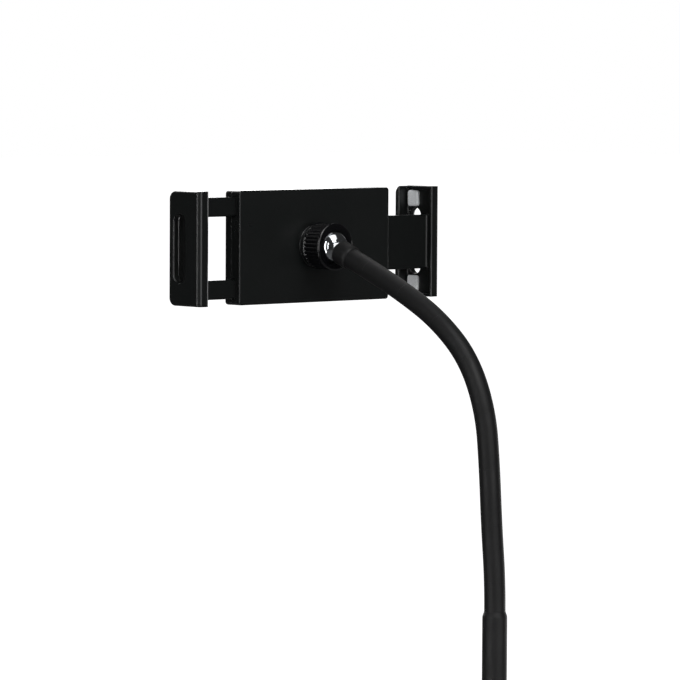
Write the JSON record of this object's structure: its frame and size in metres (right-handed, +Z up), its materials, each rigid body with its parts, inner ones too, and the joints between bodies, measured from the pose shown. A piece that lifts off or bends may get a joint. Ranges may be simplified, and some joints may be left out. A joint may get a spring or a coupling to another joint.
{
  "type": "tablet floor stand",
  "caption": "Floor stand with a weighted round base, a telescopic pole, a bendable neck and a ball-jointed spring clamp that grips a tablet by its edges.",
  "frame": {"origin": "middle of the base's underside, on the floor", "axes": "+Z up along the pole; the held tablet's screen faces -Y and the neck bends over from +Z towards -Y; the clamp's fork arm slides out along +X and its tongue arm along -X"},
  "size_m": [0.28, 0.3152, 1.2306],
  "materials": {
    "base_paint": "satin black powder coat",
    "tube_paint": "satin black powder coat",
    "ferrule_paint": "satin black",
    "sole_rubber": "matt black",
    "bolt_steel": "zinc plated",
    "insert_brass": "turned brass",
    "collar_plastic": "fine-grained black",
    "knob_plastic": "fine-grained black",
    "bush_nylon": "natural nylon",
    "neck_cover": "soft matt black",
    "neck_wire": "wound steel",
    "ball_chrome": "polished",
    "liner_felt": "matt dark grey",
    "cup_nylon": "natural nylon",
    "collet_plastic": "satin",
    "nut_plastic": "gloss black",
    "shell_plastic": "fine-grained black",
    "arm_plastic": "fine-grained black",
    "rest_rubber": "matt black",
    "jaw_pad_foam": "matt pale grey",
    "spring_steel": "bright wire"
  },
  "bodies": {
    "stand_base": {"base_plate": "base_paint", "underside_pad": "sole_rubber", "base_washer": "bolt_steel", "base_bolt": "bolt_steel", "tube_insert": "bolt_steel", "foot_cone": "collar_plastic", "lower_tube": "tube_paint", "height_collar": "collar_plastic", "clamp_insert": "insert_brass"},
    "clamp_tip": {"pressure_tip": "insert_brass"},
    "clamp_screw": {"clamp_knob": "knob_plastic", "clamp_stud": "bolt_steel", "knob_cap": "knob_plastic"},
    "sleeve": {"friction_sleeve": "bush_nylon"},
    "upper_pole": {"upper_tube": "tube_paint", "guide_bush": "bush_nylon", "pole_cap": "collar_plastic", "grub_screw": "bolt_steel", "lower_ferrule": "ferrule_paint"},
    "neck_1": {"neck_sheath_1": "neck_cover", "neck_core_1": "neck_wire"},
    "neck_2": {"neck_sheath_2": "neck_cover", "neck_core_2": "neck_wire"},
    "neck_3": {"neck_sheath_3": "neck_cover", "neck_core_3": "neck_wire"},
    "neck_4": {"neck_sheath_4": "neck_cover", "neck_core_4": "neck_wire"},
    "neck_5": {"neck_sheath_5": "neck_cover", "neck_core_5": "neck_wire"},
    "neck_6": {"neck_sheath_6": "neck_cover", "neck_core_6": "neck_wire"},
    "neck_7": {"neck_sheath_7": "neck_cover", "neck_core_7": "neck_wire"},
    "neck_8": {"neck_sheath_8": "neck_cover", "neck_core_8": "neck_wire", "upper_ferrule": "ferrule_paint", "ball_stud": "ball_chrome"},
    "ball_liner": {"friction_liner": "liner_felt"},
    "ball_seat": {"seat_cup": "cup_nylon"},
    "holder": {"back_shell": "shell_plastic", "front_shell": "shell_plastic", "shell_screws": "bolt_steel", "rest_pad": "rest_rubber", "fork_springs": "spring_steel", "tongue_springs": "spring_steel"},
    "collet": {"split_collet": "collet_plastic"},
    "nut": {"lock_nut": "nut_plastic"},
    "fork_jaw": {"fork_arm": "arm_plastic", "fork_jaw_pads": "jaw_pad_foam"},
    "tongue_jaw": {"tongue_arm": "arm_plastic", "tongue_jaw_pads": "jaw_pad_foam"}
  },
  "joints": [
    {"name": "clamp_tip_travel", "type": "slide", "parent": "stand_base", "child": "clamp_tip", "axis": [0, 1, 0], "range_m": [0, 0.0015]},
    {"name": "clamp_knob_turn", "type": "hinge", "parent": "clamp_tip", "child": "clamp_screw", "pos_m": [0, 0.0255, 0.57625], "axis": [0, 1, 0], "range_deg": [0, 541]},
    {"name": "pole_swivel", "type": "hinge", "parent": "stand_base", "child": "sleeve", "pos_m": [0, 0, 0.57625], "axis": [0, 0, 1], "continuous": true},
    {"name": "pole_height", "type": "slide", "parent": "sleeve", "child": "upper_pole", "axis": [0, 0, 1], "range_m": [-0.3, 0.1]},
    {"name": "neck_bend_lower", "type": "hinge", "parent": "upper_pole", "child": "neck_1", "pos_m": [0, 0, 0.9995], "axis": [1, 0, 0], "range_deg": [-10, 12]},
    {"name": "neck_joint_2", "type": "hinge", "parent": "neck_1", "child": "neck_2", "pos_m": [0, -0.00151, 1.03095], "axis": [1, 0, 0], "range_deg": [-10, 12]},
    {"name": "neck_joint_3", "type": "hinge", "parent": "neck_2", "child": "neck_3", "pos_m": [0, -0.00398, 1.06235], "axis": [1, 0, 0], "range_deg": [-10, 12]},
    {"name": "neck_joint_4", "type": "hinge", "parent": "neck_3", "child": "neck_4", "pos_m": [0, -0.00659, 1.09374], "axis": [1, 0, 0], "range_deg": [-10, 12]},
    {"name": "neck_bend_upper", "type": "hinge", "parent": "neck_4", "child": "neck_5", "pos_m": [0, -0.01497, 1.12396], "axis": [1, 0, 0], "range_deg": [-12, 8]},
    {"name": "neck_joint_6", "type": "hinge", "parent": "neck_5", "child": "neck_6", "pos_m": [0, -0.03389, 1.14884], "axis": [1, 0, 0], "range_deg": [-12, 8]},
    {"name": "neck_joint_7", "type": "hinge", "parent": "neck_6", "child": "neck_7", "pos_m": [0, -0.06002, 1.1663], "axis": [1, 0, 0], "range_deg": [-12, 8]},
    {"name": "neck_joint_8", "type": "hinge", "parent": "neck_7", "child": "neck_8", "pos_m": [0, -0.08862, 1.17949], "axis": [1, 0, 0], "range_deg": [-12, 8]},
    {"name": "ball_pan", "type": "hinge", "parent": "neck_8", "child": "ball_liner", "pos_m": [0, -0.13515, 1.19779], "axis": [0, 0, 1], "range_deg": [-12, 12]},
    {"name": "ball_tilt", "type": "hinge", "parent": "ball_liner", "child": "ball_seat", "pos_m": [0, -0.13515, 1.19779], "axis": [1, 0, 0], "range_deg": [-44, 3]},
    {"name": "ball_turn", "type": "hinge", "parent": "ball_seat", "child": "holder", "pos_m": [0, -0.13515, 1.19779], "axis": [0, 1, 0], "continuous": true},
    {"name": "collet_travel", "type": "slide", "parent": "holder", "child": "collet", "axis": [0, 1, 0], "range_m": [0, 0.00075]},
    {"name": "lock_nut_turn", "type": "hinge", "parent": "collet", "child": "nut", "pos_m": [0, -0.13515, 1.19779], "axis": [0, 1, 0], "range_deg": [0, 181]},
    {"name": "fork_slide", "type": "slide", "parent": "holder", "child": "fork_jaw", "axis": [1, 0, 0], "range_m": [-0.0232, 0.026], "stiffness_N_per_m": 150, "springref_m": -0.05, "deforming": ["fork_springs"]},
    {"name": "tongue_slide", "type": "slide", "parent": "holder", "child": "tongue_jaw", "axis": [-1, 0, 0], "range_m": [-0.0341, 0.0151], "stiffness_N_per_m": 150, "springref_m": -0.05, "deforming": ["tongue_springs"]}
  ],
  "couplings": [
    {"joint": "clamp_knob_turn", "follows": "clamp_tip_travel", "rad_per_m": 6283.2},
    {"joint": "lock_nut_turn", "follows": "collet_travel", "rad_per_m": 4188.8},
    {"joint": "neck_joint_2", "follows": "neck_bend_lower", "ratio": 1},
    {"joint": "neck_joint_3", "follows": "neck_bend_lower", "ratio": 1},
    {"joint": "neck_joint_4", "follows": "neck_bend_lower", "ratio": 1},
    {"joint": "neck_joint_6", "follows": "neck_bend_upper", "ratio": 1},
    {"joint": "neck_joint_7", "follows": "neck_bend_upper", "ratio": 1},
    {"joint": "neck_joint_8", "follows": "neck_bend_upper", "ratio": 1}
  ]
}
